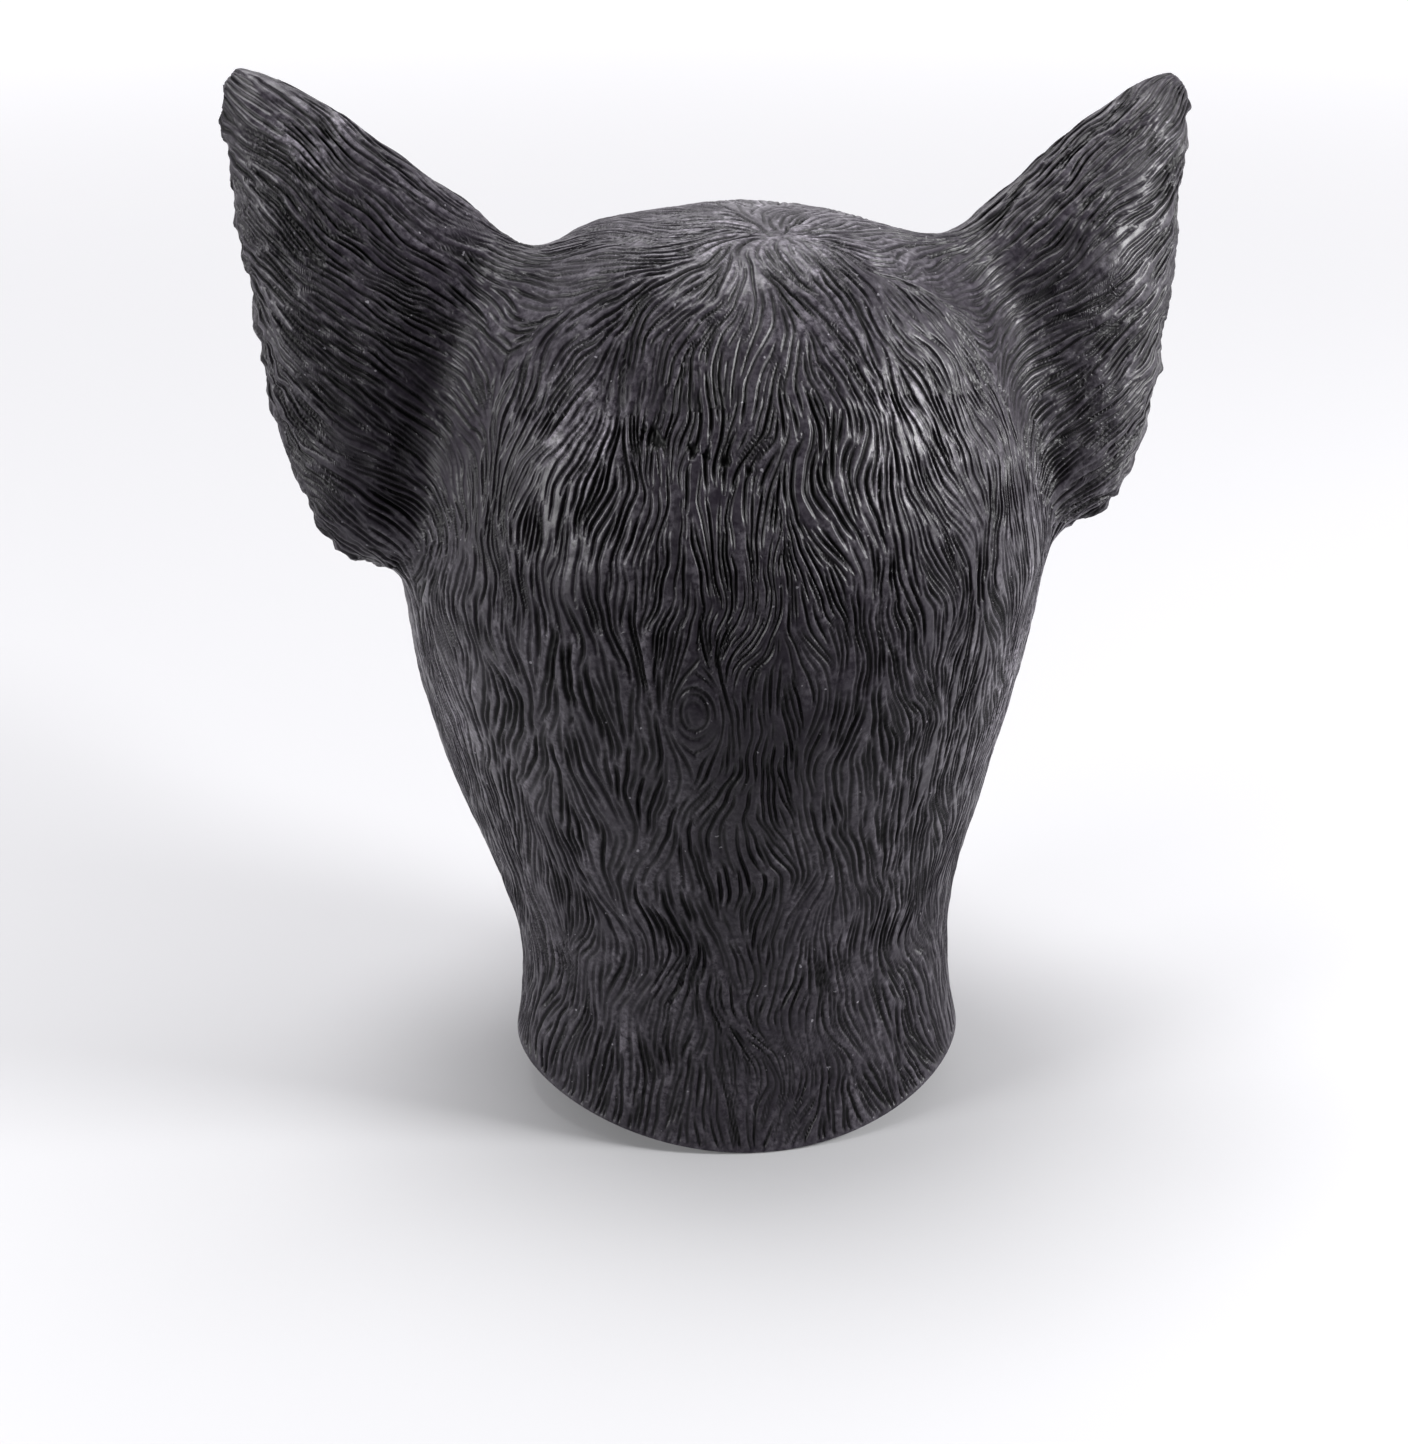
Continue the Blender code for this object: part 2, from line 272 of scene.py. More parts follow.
def hairFlow(places, normals):
    side = np.sign(places[:, 0:1])
    y, z = places[:, 1], places[:, 2]
    ones = np.ones((len(places), 1))

    def towards(*v):
        return flat(np.hstack([ones * part for part in v]), normals)

    fromWhorl = places - np.array(comb["whorl"])
    down = smooth(*comb["whorlReach"], np.linalg.norm(fromWhorl, axis=1))[:, None]
    head = unit(flat(fromWhorl, normals) * (1 - down) + towards(side * comb["outwards"], 0, -1) * down)
    low = smooth(*comb["cheekLow"], z)[:, None]
    out, behind, up = comb["cheekLie"]
    lessBehind, lessUp = comb["cheekTurn"]
    cheek = flat(np.hstack([side * out, behind - lessBehind * low, up - lessUp * low]), normals)
    muzzle = flat(np.array(comb["noseTip"]) - places, normals)

    onMuzzle = smooth(*comb["muzzleFrom"], y)
    onCheek = smooth(*comb["cheekFrom"][0], y) * smooth(*comb["cheekFrom"][1], z) * (1 - onMuzzle)
    lies = [(muzzle, onMuzzle), (cheek, onCheek)]
    rest = (1 - onMuzzle) * (1 - onCheek)
    for ear in ears.values():
        a, c, b, off = earPlace(places, ear)
        along, across, back = earAxes(ear)
        onBack, lessAtTip, inHollow = comb["earTurn"]
        turn = np.where(b > comb["earBack"], onBack - lessAtTip * np.clip(a, 0, 1), inHollow)
        turn = np.radians(turn)[:, None]
        lie = (along * np.cos(turn) + across * np.sin(turn)) * np.array([ear["side"], 1, 1])
        onEar = (1 - smooth(*comb["earReach"], off)) * (1 - onMuzzle)
        lies.append((flat(lie, normals), onEar))
        rest = rest * (1 - onEar)
    lies.append((head, rest))

    # Hair has no front or back to its lie, so the mix is made of doubled angles, from any first direction
    first = flat(np.tile([0.31, 0.17, 0.93], (len(places), 1)), normals)
    second = np.cross(normals, first)
    total = np.zeros((len(places), 2))
    for lie, weight in lies:
        angle = 2 * np.arctan2(np.sum(lie * second, axis=1), np.sum(lie * first, axis=1))
        total += weight[:, None] * np.stack([np.cos(angle), np.sin(angle)], axis=1)
    angle = np.arctan2(total[:, 1], total[:, 0]) / 2
    return first * np.cos(angle)[:, None] + second * np.sin(angle)[:, None]


# Strands: evenly spaced grooves that follow the lie of the hair
strands = {
    "pitch": 0.0021,  # m from groove to groove
    "earPitch": 0.0020,
    "uneven": (0.8, 1.25),  # shares of the pitch
    "clear": (0.86, 0.62),  # a strand starts, and goes on, this many pitches from the others
    "coarseness": 0.55,  # some locks are coarser than others by this share
    "lock": 0.030,  # m from lock to lock
    "lockShift": (3.1, 0.4, 7.7),
    "faceCoarseness": 0.42,  # the face is carved in broader strands
    "faceFrom": (-0.03, 0.03),  # where that starts and over what depth
    "faceTurned": 0.35,  # skin that looks this far backwards isn't face
    "coarsest": {  # place: reach and amount
        (0.083, 0.066, -0.166): (0.045, 0.50),
        (0.060, 0.080, -0.225): (0.040, 0.30),
    },
    "step": 0.0014,
    "length": (0.014, 0.055),
    "shortest": 4,  # steps
    "strength": (0.45, 0.55, 0.8),  # least, spread, and how the spread is bent towards deep
    "taper": (0.006, 0.7),  # m at either end, and how it rounds
    "tip": 0.6,  # steps of taper that even the last point has
    "seeds": 60000,
    "seed": 11,
    "cell": 0.003,  # m, of the grid that finds neighbours
}


def traceStrands(guide, flow, strands):
    dice = random.Random(strands["seed"])
    tree = BVHTree.FromBMesh(guide)
    faces = list(guide.faces)
    weights = np.cumsum([face.calc_area() for face in faces])
    throws = np.sort(np.array([dice.random() for _ in range(strands["seeds"])]))
    starts = list(np.searchsorted(weights, throws * weights[-1]))
    dice.shuffle(starts)
    cells = {}
    points, tangents, depths, tones, widths = [], [], [], [], []

    def cellOf(p):
        return tuple(math.floor(part / strands["cell"]) for part in p)

    def crowded(p, reach, own):
        i, j, k = cellOf(p)
        for di in (-1, 0, 1):
            for dj in (-1, 0, 1):
                for dk in (-1, 0, 1):
                    for other, q in cells.get((i + di, j + dj, k + dk), ()):
                        if other != own and (q - p).length_squared < reach * reach:
                            return True
        return False

    def lieAt(place, normal, index):
        lie = Vector(flow[index])
        x, y, z = place - Vector(comb["curl"])
        inCurl = math.exp(-(Vector((x, y, z / comb["curlHeight"])).length / comb["curlReach"]) ** 2)
        if inCurl > comb["curlFaint"]:
            turn = normal.cross(Vector((x, y, z / comb["curlHeight"] ** 2))).normalized()
            turn = turn if turn.dot(lie) > 0 else -turn
            lie = lie.lerp(turn, min(1, comb["curlHold"] * inCurl)).normalized()
        lessWave, lessKink = comb["earCalm"]
        bend = comb["wave"] * noise.noise(place / comb["waveSize"]) * (1 - lessWave * earMask[index])
        bend += comb["kink"] * noise.noise(place / comb["kinkSize"]) * (1 - lessKink * earMask[index])
        bend *= 1 - min(1, comb["curlCalm"] * inCurl)
        return lie * math.cos(bend) + normal.cross(lie) * math.sin(bend)

    def walk(p, heading, reach, length, own):
        path = []
        while length > 0:
            place, normal, index, distance = tree.find_nearest(p + heading * strands["step"])
            lie = lieAt(place, normal, index)
            heading = lie if lie.dot(heading) > 0 else -lie
            p = place
            if crowded(p, reach, own):
                break
            path.append((p, heading))
            length -= strands["step"]
        return path

    def coarsenessAt(seed, facing):
        lock = noise.noise(seed / strands["lock"] + Vector(strands["lockShift"]))
        coarse = 1 + strands["coarseness"] * lock
        if facing.y < strands["faceTurned"]:
            begin, depth = strands["faceFrom"]
            coarse += strands["faceCoarseness"] * min(1, max(0, (begin - seed.y) / depth))
        for place, (reach, amount) in strands["coarsest"].items():
            coarse += amount * math.exp(-((seed - Vector(place)).length / reach) ** 2)
        return coarse

    number = 0
    startClear, pathClear = strands["clear"]
    least, spread, towardsDeep = strands["strength"]
    taperLength, taperRound = strands["taper"]
    for start in starts:
        face = faces[start]
        corners = [corner.co for corner in face.verts]
        mix = [dice.random() for _ in corners]
        seed = sum((corner * share for corner, share in zip(corners, mix)), Vector()) / sum(mix)
        onEar = earMask[start]
        coarse = coarsenessAt(seed, face.normal)
        pitch = (strands["pitch"] * (1 - onEar) + strands["earPitch"] * onEar) * coarse
        pitch *= dice.uniform(*strands["uneven"])
        if crowded(seed, pitch * startClear, -1):
            continue
        length = dice.uniform(*strands["length"]) / 2  # either way from the seed
        lie = lieAt(seed, face.normal, start)
        back = walk(seed, -lie, pitch * pathClear, length, number)
        ahead = walk(seed, lie, pitch * pathClear, length, number)
        path = [(p, -heading) for p, heading in reversed(back)] + [(seed, lie)] + ahead
        if len(path) < strands["shortest"]:
            continue
        strength, tone = least + spread * dice.random() ** towardsDeep, dice.random()
        for place, (p, heading) in enumerate(path):
            cells.setdefault(cellOf(p), []).append((number, p))
            steps = min(place, len(path) - 1 - place) + strands["tip"]
            taper = min(1.0, steps * strands["step"] / taperLength)
            points.append(p)
            tangents.append(heading)
            depths.append(strength * taper ** taperRound)
            tones.append(tone)
            widths.append(coarse)
        number += 1
    tell("strands traced:", number, "points:", len(points))
    return points, np.array(tangents), np.array(depths), np.array(tones), np.array(widths)


outer, inner = splitSkins(skinNode.data)
tell("outer quads:", len(outer.faces), "inner and rims:", len(inner.faces))

guide = subdivided(outer, 1)
guide.faces.ensure_lookup_table()
centres = np.array([face.calc_center_median() for face in guide.faces])
normals = np.array([face.normal for face in guide.faces])
flow = hairFlow(centres, normals)
earMask = np.maximum(*[1 - smooth(*comb["earHair"], earPlace(centres, ear)[3]) for ear in ears.values()])
strandPoints, strandLies, strandDepths, strandTones, strandWidths = traceStrands(guide, flow, strands)


# Zones: the outer skin is cut into pieces of a size that other programs still take
zones = ["crown", "back", "nape", "leftEar", "rightEar", "leftCheek", "rightCheek", "muzzle"]
zoneCuts = {
    "ear": 0.006,  # m inside the head
    "muzzle": -0.112,  # y
    "cheek": (-0.02, -0.045),  # y and z
    "crown": -0.105,  # z
    "back": -0.215,
}


def zoneOf(centre):
    for name, ear in ears.items():
        if earPlace(np.array([centre]), ear)[3][0] < zoneCuts["ear"]:
            return zones.index(name + "Ear")
    x, y, z = centre
    if y < zoneCuts["muzzle"]:
        return zones.index("muzzle")
    if y < zoneCuts["cheek"][0] and z < zoneCuts["cheek"][1]:
        return zones.index("leftCheek" if x > 0 else "rightCheek")
    if z > zoneCuts["crown"]:
        return zones.index("crown")
    return zones.index("back" if z > zoneCuts["back"] else "nape")


zoneLayer = outer.faces.layers.int.new("zone")
for face in outer.faces:
    face[zoneLayer] = zoneOf(face.calc_center_median())


# A flat layout of the coarse faces, zone by zone, which the finer faces inherit
layout = {"angle": 60, "margin": 0.006}  # degrees, and a share of the sheet


def layOut(bm, numbers):
    sheet = bpy.data.objects.new("sheet", meshOf(bm, "sheet"))
    bpy.context.scene.collection.objects.link(sheet)
    bpy.context.view_layer.objects.active = sheet
    sheet.data.uv_layers.new(name="OFBake")
    for number in sorted(set(numbers)):
        sheet.data.polygons.foreach_set("select", [other == number for other in numbers])
        bpy.ops.object.mode_set(mode="EDIT")
        bpy.ops.uv.smart_project(angle_limit=math.radians(layout["angle"]), island_margin=layout["margin"])
        bpy.ops.object.mode_set(mode="OBJECT")
    laid = bmesh.new()
    laid.from_mesh(sheet.data)
    bpy.data.objects.remove(sheet)
    return laid


outer = layOut(outer, [face[zoneLayer] for face in outer.faces])
inner = layOut(inner, [0] * len(inner.faces))
tell("laid out")


# Fine faces: halved again and again, until they are small across the lie of the hair and longer along it
fineness = {
    "levels": 3,  # of rounding, before anything is halved
    "halvings": 2,
    "seen": (0.00055, 0.0011),  # m across and along, where the camera looks
    "hidden": (0.0010, 0.0020),
    "tooLong": 1.4,  # times that
    "seenBehind": -0.010,  # y
    "seenOnTop": (-0.055, -0.045),  # y and z
    "seenEar": (0.004, 0.002),  # m inside the head, and behind the ear's middle plane
}


def seenFromBehind(places):
    y, z = places[:, 1], places[:, 2]
    seen = (y > fineness["seenBehind"]) | ((y > fineness["seenOnTop"][0]) & (z > fineness["seenOnTop"][1]))
    for ear in ears.values():
        a, c, b, off = earPlace(places, ear)
        seen |= (off < fineness["seenEar"][0]) & (b > fineness["seenEar"][1])
        seen &= (off > 0.0) | (b > 0.0)
    return seen


def halveLongEdges(bm):
    mesh = meshOf(bm, "measured")
    places, normals = vertexArray(mesh, "co"), vertexArray(mesh, "normal")
    ends = np.empty(len(mesh.edges) * 2, dtype=np.int32)
    mesh.edges.foreach_get("vertices", ends)
    bpy.data.meshes.remove(mesh)
    one, two = ends.reshape(-1, 2).T
    middles, spans = (places[one] + places[two]) / 2, places[two] - places[one]
    lie = hairFlow(middles, unit(normals[one] + normals[two]))
    slant = np.abs(np.sum(unit(spans) * lie, axis=1))
    seen = seenFromBehind(middles)
    across = np.where(seen, fineness["seen"][0], fineness["hidden"][0])
    along = np.where(seen, fineness["seen"][1], fineness["hidden"][1])
    wanted = 1 / np.hypot(slant / along, np.sqrt(1 - slant ** 2) / across)
    pick = np.linalg.norm(spans, axis=1) > fineness["tooLong"] * wanted
    edges = [edge for edge, long in zip(bm.edges, pick) if long]
    bmesh.ops.subdivide_edges(bm, edges=edges, cuts=1, use_grid_fill=True)
    tell("halved", len(edges), "edges, now", len(bm.faces), "faces")


fine = subdivided(outer, fineness["levels"])
for halving in range(fineness["halvings"]):
    halveLongEdges(fine)


# Carving
carving = {
    "groove": 0.0015,  # m deep
    "grooveReach": 0.00105,  # from the bottom of a groove to the top of its strand
    "grooveStretch": (0.75, 1.5),  # coarse locks stretch that reach, within these
    "grooveFrom": (0.0005, 0.003),  # m from an open edge, where the grooves set in
    "unevenDepth": (0.8, 0.02),  # share, and m from deep to deep
    "deepestGroove": 1.15,  # share
    "curlShallow": (0.4, 1.5),  # share, and over how many times the curl's reach
    "snap": 0.00020,  # points this near a groove are drawn on to it, so that it runs unbroken
    "snapFrom": 0.002,  # m from an open edge
    "lump": 0.0010,  # slow rise and fall of the casting
    "lumpSize": 0.028,
    "smallLump": (0.35, 0.006),  # share and size
    "lumpFrom": (0, 0.01),  # m from an open edge
    "deepest": 0.0018,  # the skin is 2 mm thick
    "bareNose": ((-0.208, -0.219), (-0.170, -0.166)),  # y and z over which the hair ends
    "pits": {  # small casting faults and a scar of broken strands: place, and m from middle to rim
        (0.0423, 0.0765, -0.056): 0.0036,
        (0.0400, 0.0765, -0.059): 0.0022,
        (0.0294, 0.0832, -0.060): 0.0024,
        (0.0235, 0.0850, -0.061): 0.0015,
        (0.0165, 0.0860, -0.064): 0.0019,
        (0.0110, 0.0870, -0.067): 0.0014,
    },
    "pitEdge": (0.25, 0.6),  # from its rim to its floor
    "pitRagged": (1.1, 0.0016),  # share and m from tear to tear
    "mouth": [(-0.122, -0.160), (-0.135, -0.171), (-0.165, -0.177), (-0.190, -0.175), (-0.219, -0.168)],
    "mouthWidth": 0.0025,  # m from its line to its lips
    "mouthEnd": (0.5, -0.118),  # how it closes past its last point, and the y where it stops
    "lid": 0.0012,
    "lidPlace": (0.003, 0.002),  # m from the eye hole, and half its width
    "lidAbove": -0.2,  # z, so that the hem has none
}


def openEdge(bm, places):
    # how far each place lies from the hem or an eye hole
    tree = treeOf([vert.co for vert in bm.verts if vert.is_boundary])
    return np.array([tree.find(place)[2] for place in places])


def cutMarks(places, tree):
    # the mouth line, the pits and the scar, 1 where they are deepest
    mouth = np.array(carving["mouth"])[::-1]
    width = carving["mouthWidth"]
    closing, stop = carving["mouthEnd"]
    lips = np.abs(places[:, 2] - np.interp(places[:, 1], *mouth.T))
    lips = lips + closing * np.maximum(places[:, 1] - mouth[-1, 0], 0)
    parted = np.where(lips < width, smooth(width, 0, lips), 0) * (places[:, 1] < stop)
    ragged, size = carving["pitRagged"]
    torn = 1 + ragged * noiseAt(places, size, 9)
    pits = np.zeros(len(places))
    for pit, reach in carving["pits"].items():
        pit = strandPoints[tree.find(pit)[1]]
        pits += smooth(*carving["pitEdge"], near(places, pit, reach) * torn)
    return np.clip(parted + pits, 0, 1)


# Tufts: the ears' outer rims stand out raggedly
tufts = {
    "out": 0.0021,  # m
    "facing": (0.35, 0.9),  # how squarely the skin looks outwards there
    "from": (-0.2, 0.0),  # across the ear
    "size": 0.0045,
    "wide": (1.2, 0.013),  # share and size of the broader ones
}


def tuftsAt(places, normals):
    outward = np.zeros_like(places)
    wide, wideSize = tufts["wide"]
    for ear in ears.values():
        a, c, b, off = earPlace(places, ear)
        across = earAxes(ear)[1] * np.array([ear["side"], 1, 1])
        rim = smooth(*tufts["facing"], normals @ across) * (off < 0) * smooth(*tufts["from"], c)
        tuft = noiseAt(places, tufts["size"], 7) + wide * noiseAt(places, wideSize, 8)
        outward += across * (rim * tuft * tufts["out"])[:, None]
    return outward


# Where grey paint was dragged over the tops of the strands, or left off, and where light and shade are
# painted: the patches on the crown top, the lower sides and the lower back are painted light, and those that
# take grey away at the left ear's root and on the nape are painted shade. Each: m from the middle, and how
# much
brushingLitAndShaded = {
    "everywhere": 0.19,
    "patches": {
        (0.063, 0.065, -0.057): (0.017, 0.95),
        (0.147, -0.028, 0.027): (0.015, 0.55),
        (-0.047, 0.078, -0.062): (0.018, 0.75),
        # painted light: the crown top, the lower sides and the lower back
        (-0.010, 0.015, 0.000): (0.045, 0.40),
        (0.104, 0.023, -0.190): (0.030, 0.25),
        (-0.108, 0.020, -0.170): (0.045, 0.65),
        (0.040, 0.086, -0.290): (0.025, 0.15),
        # painted shade: less grey at the left ear's root and on the nape
        (0.095, 0.044, -0.085): (0.020, -0.25),
        (0.005, 0.104, -0.170): (0.030, -0.18),
        (0.124, 0.010, -0.071): (0.028, -0.16),
    },
    "uneven": (0.9, 0.016),  # share and size of the broad unevenness
    "streaky": (0.5, 0.005),  # and of the small one
}


def greyLitAndShadedAt(places):
    # dry-brush grey, with the patches of painted light and painted shade added in
    greyLitAndShaded = np.full(len(places), brushingLitAndShaded["everywhere"])
    for place, (reach, amount) in brushingLitAndShaded["patches"].items():
        greyLitAndShaded += amount * near(places, place, reach)
    uneven, unevenSize = brushingLitAndShaded["uneven"]
    streaky, streakSize = brushingLitAndShaded["streaky"]
    greyLitAndShaded *= 1 + uneven * noiseAt(places, unevenSize, 5) + streaky * noiseAt(places, streakSize, 6)
    return np.clip(greyLitAndShaded, 0, 1)


def carve(bm):
    mesh = meshOf(bm, "skin")
    places, normals = vertexArray(mesh, "co"), vertexArray(mesh, "normal")
    fromEdge = openEdge(bm, places)
    tree = treeOf(strandPoints)
    nearest = np.array([tree.find(place)[1] for place in places])
    offset = places - np.array([strandPoints[index] for index in nearest])
    lies = strandLies[nearest]
    lengthways = np.sum(offset * lies, axis=1, keepdims=True)
    sideways = inSurface(offset - lies * lengthways, normals)
    gap = np.linalg.norm(sideways, axis=1)
    beyond = np.maximum(np.abs(lengthways[:, 0]) - strands["step"], 0)
    snapped = (gap < carving["snap"]) & (beyond == 0) & (fromEdge > carving["snapFrom"])
    places = places - sideways * snapped[:, None]
    stretch = np.clip(strandWidths[nearest], *carving["grooveStretch"])
    gap = np.hypot(np.where(snapped, 0, gap), beyond) / stretch

    noseBack, noseLow = carving["bareNose"]
    bare = smooth(*noseBack, places[:, 1]) * smooth(*noseLow, places[:, 2])
    uneven, unevenSize = carving["unevenDepth"]
    shallow, spread = carving["curlShallow"]
    deep = strandDepths[nearest] * smooth(*carving["grooveFrom"], fromEdge)
    deep = deep * (1 - bare) * (1.0 + uneven * noiseAt(places, unevenSize, 4))
    deep = np.clip(deep, 0, carving["deepestGroove"])
    deep *= 1 - shallow * near(places, comb["curl"], spread * comb["curlReach"])
    valley = (1 - np.sin(np.pi / 2 * np.clip(gap / carving["grooveReach"], 0, 1))) * deep

    smallLump, smallSize = carving["smallLump"]
    lumps = noiseAt(places, carving["lumpSize"], 1) + smallLump * noiseAt(places, smallSize, 2)
    lidFrom, lidWidth = carving["lidPlace"]
    lid = np.exp(-((fromEdge - lidFrom) / lidWidth) ** 2) * (places[:, 2] > carving["lidAbove"])
    cut = cutMarks(places, tree)
    rise = -carving["groove"] * valley
    rise += carving["lump"] * lumps * smooth(*carving["lumpFrom"], fromEdge)
    rise += carving["lid"] * lid
    rise -= carving["deepest"] * cut
    rise = np.maximum(rise, -carving["deepest"])
    moved = places + normals * rise[:, None] + tuftsAt(places, normals)
    mesh.vertices.foreach_set("co", moved.astype(np.float32).ravel())

    # what the paint reads: the distance from the groove in mm, and shares of 1
    layers = {
        # pits and the mouth line get a gap of 0, so they take the groove's painted shade
        "gap": gap * (1 - cut) * 1000,
        "deep": np.maximum(deep, cut),
        "tone": strandTones[nearest],
        # dry-brush grey with patches of painted light and painted shade
        "greyLitAndShaded": greyLitAndShadedAt(places),
        "bare": bare,
    }
    for name, values in layers.items():
        layer = mesh.attributes.new(name, "FLOAT", "POINT")
        layer.data.foreach_set("value", values.astype(np.float32))
    mesh.update()
    tell("carved", len(places), "points")
    return mesh


carved = carve(fine)


# Materials
def linear(text):
    parts = [int(text[i:i + 2], 16) / 255 for i in (1, 3, 5)]
    parts = [part / 12.92 if part < 0.04045 else ((part + 0.055) / 1.055) ** 2.4 for part in parts]
    return (*parts, 1)


def addNode(tree, kind, settings=None, links=None):
    # settings and links are by socket name or number; a setting that is no socket is a property of the node
    node = tree.nodes.new(kind)
    for name, value in (settings or {}).items():
        if isinstance(name, int) or name in node.inputs:
            node.inputs[name].default_value = value
        else:
            setattr(node, name, value)
    for name, source in (links or {}).items():
        tree.links.new(source, node.inputs[name])
    return node


def newMaterial(name):
    material = bpy.data.materials.new(name)
    material.use_nodes = True
    tree = material.node_tree
    tree.nodes.clear()
    return material, tree


latexLook = {
    # painted shade: this near-black darkens the bottoms of the grooves, the pits and the mouth line
    "groove": "#010101",
    "ridge": "#252029",
    "ridgeFrom": (0.18, 1.05),  # mm from the bottom of a groove, where its painted shade ends and the ridge is full
    # dry-brush grey, also the colour of the painted light patches
    "brushedAndLit": "#b3adb8",
    "scuffSize": 0.0022,  # m, broken marks of the dry brush
    "scuffs": (0.38, 0.62),  # of the pattern's range: bare below, covered above
    "leastBrushed": 0.25,  # share on the strands that took the least
    "nose": "#0d0c0e",  # bare, and never brushed
    "glint": "#8f8c93",  # painted glints: tiny light specks standing for highlights on the latex
    "glintSize": 0.0026,
    "glints": (0.765, 0.80),  # only the pattern's peaks
    "roughness": (0.52, 0.37),  # in the grooves and on the ridges
    "specular": 0.38,
    "ior": 1.5,
    "relief": (0.8, 0.0005),  # share and m, rounds the strands off
    "grainSize": 0.0009,  # the real skin's grain is finer, and this is about the finest that shows
    "grain": (0.18, 0.0003),
}


def carvedLatex(look):
    # slush-cast black latex, dry-brushed: a satin charcoal on the strands, matt down in the grooves, where
    # the near-black colour is painted shade; the brushed grey also carries patches of painted light and
    # shade, and small painted glints are added
    material, tree = newMaterial("carved_latex")
    gap, deep, tone, greyLitAndShaded, bare = [
        addNode(tree, "ShaderNodeAttribute", {"attribute_name": name}).outputs["Fac"]
        for name in ("gap", "deep", "tone", "greyLitAndShaded", "bare")
    ]
    coords = addNode(tree, "ShaderNodeTexCoord").outputs["Object"]
    low, high = look["ridgeFrom"]
    ridge = addNode(tree, "ShaderNodeMapRange", {
        "interpolation_type": "SMOOTHSTEP", "From Min": low, "From Max": high,
    }, {"Value": gap}).outputs[0]
    # painted shade: shade is 0 at a groove's bottom and 1 on the ridge, and darkens the colour to near-black
    # in the grooves
    shade = addNode(tree, "ShaderNodeMix", {"data_type": "FLOAT", 2: 1.0}, {0: deep, 3: ridge}).outputs[0]
    colour = addNode(tree, "ShaderNodeMix", {
        "data_type": "RGBA", 6: linear(look["groove"]), 7: linear(look["ridge"]),
    }, {0: shade}).outputs[2]

    scuffs = addNode(tree, "ShaderNodeTexNoise", {
        "Scale": 1 / look["scuffSize"], "Detail": 4.0, "Roughness": 0.65,
    }, {"Vector": coords}).outputs[0]
    low, high = look["scuffs"]
    dragged = addNode(tree, "ShaderNodeMapRange", {"From Min": low, "From Max": high}, {"Value": scuffs})
    strandGrey = addNode(tree, "ShaderNodeMapRange", {"To Min": look["leastBrushed"]}, {"Value": tone})
    # how much grey lands on a ridge: dry-brushing, plus the patches of painted light and painted shade
    dryBrushLitAndShaded = greyLitAndShaded
    for part in (strandGrey.outputs[0], dragged.outputs[0], shade, shade):
        dryBrushLitAndShaded = addNode(tree, "ShaderNodeMath", {"operation": "MULTIPLY"}, {0: dryBrushLitAndShaded, 1: part}).outputs[0]

    # painted glints: light specks at the peaks of a noise pattern
    glintNoise = addNode(tree, "ShaderNodeTexNoise", {
        "Scale": 1 / look["glintSize"], "Detail": 1.0,
    }, {"Vector": coords}).outputs[0]
    low, high = look["glints"]
    glint = addNode(tree, "ShaderNodeMapRange", {"From Min": low, "From Max": high}, {"Value": glintNoise})
    for name, share in (("brushedAndLit", dryBrushLitAndShaded), ("nose", bare), ("glint", glint.outputs[0])):
        colour = addNode(tree, "ShaderNodeMix", {
            "data_type": "RGBA", 7: linear(look[name]),
        }, {0: share, 6: colour}).outputs[2]

    matt, satin = look["roughness"]
    rough = addNode(tree, "ShaderNodeMapRange", {"To Min": matt, "To Max": satin}, {"Value": shade})
    share, height = look["relief"]
    relief = addNode(tree, "ShaderNodeBump", {"Strength": share, "Distance": height}, {"Height": shade})
    grain = addNode(tree, "ShaderNodeTexNoise", {
        "Scale": 1 / look["grainSize"], "Detail": 4.0,
    }, {"Vector": coords}).outputs[0]
    share, height = look["grain"]
    bump = addNode(tree, "ShaderNodeBump", {
        "Strength": share, "Distance": height,
    }, {"Height": grain, "Normal": relief.outputs[0]}).outputs[0]
    shader = addNode(tree, "ShaderNodeBsdfPrincipled", {
        "IOR": look["ior"], "Specular IOR Level": look["specular"],
    }, {"Base Color": colour, "Roughness": rough.outputs[0], "Normal": bump})
    addNode(tree, "ShaderNodeOutputMaterial", {}, {"Surface": shader.outputs[0]})
    return material


insideLook = {
    "clouds": ("#1b1a1d", "#2c2a2e"),
    "cloudSize": 0.018,  # m
    "roughness": 0.55,
    "ior": 1.52,
    "bump": (0.3, 0.0006),  # share and m
}


def plainLatex(look):
    # the same casting from inside: plain poured latex, smooth and a little dusty
    material, tree = newMaterial("poured_latex_inside")
    coords = addNode(tree, "ShaderNodeTexCoord").outputs["Object"]
    clouds = addNode(tree, "ShaderNodeTexNoise", {
        "Scale": 1 / look["cloudSize"], "Detail": 3.0,
    }, {"Vector": coords}).outputs[0]
    dark, light = look["clouds"]
    colour = addNode(tree, "ShaderNodeMix", {
        "data_type": "RGBA", 6: linear(dark), 7: linear(light),
    }, {0: clouds}).outputs[2]
    share, height = look["bump"]
    bump = addNode(tree, "ShaderNodeBump", {"Strength": share, "Distance": height}, {"Height": clouds})
    shader = addNode(tree, "ShaderNodeBsdfPrincipled", {
        "IOR": look["ior"], "Roughness": look["roughness"],
    }, {"Base Color": colour, "Normal": bump.outputs[0]})
    addNode(tree, "ShaderNodeOutputMaterial", {}, {"Surface": shader.outputs[0]})
    return material


# Pieces
def finishPiece(mesh, name, material):
    mesh.materials.clear()
    mesh.materials.append(material)
    mesh.shade_smooth()
    piece = bpy.data.objects.new(name, mesh)
    bpy.context.scene.collection.objects.link(piece)
    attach(piece, "root")
    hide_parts("mask_skin")
    return piece


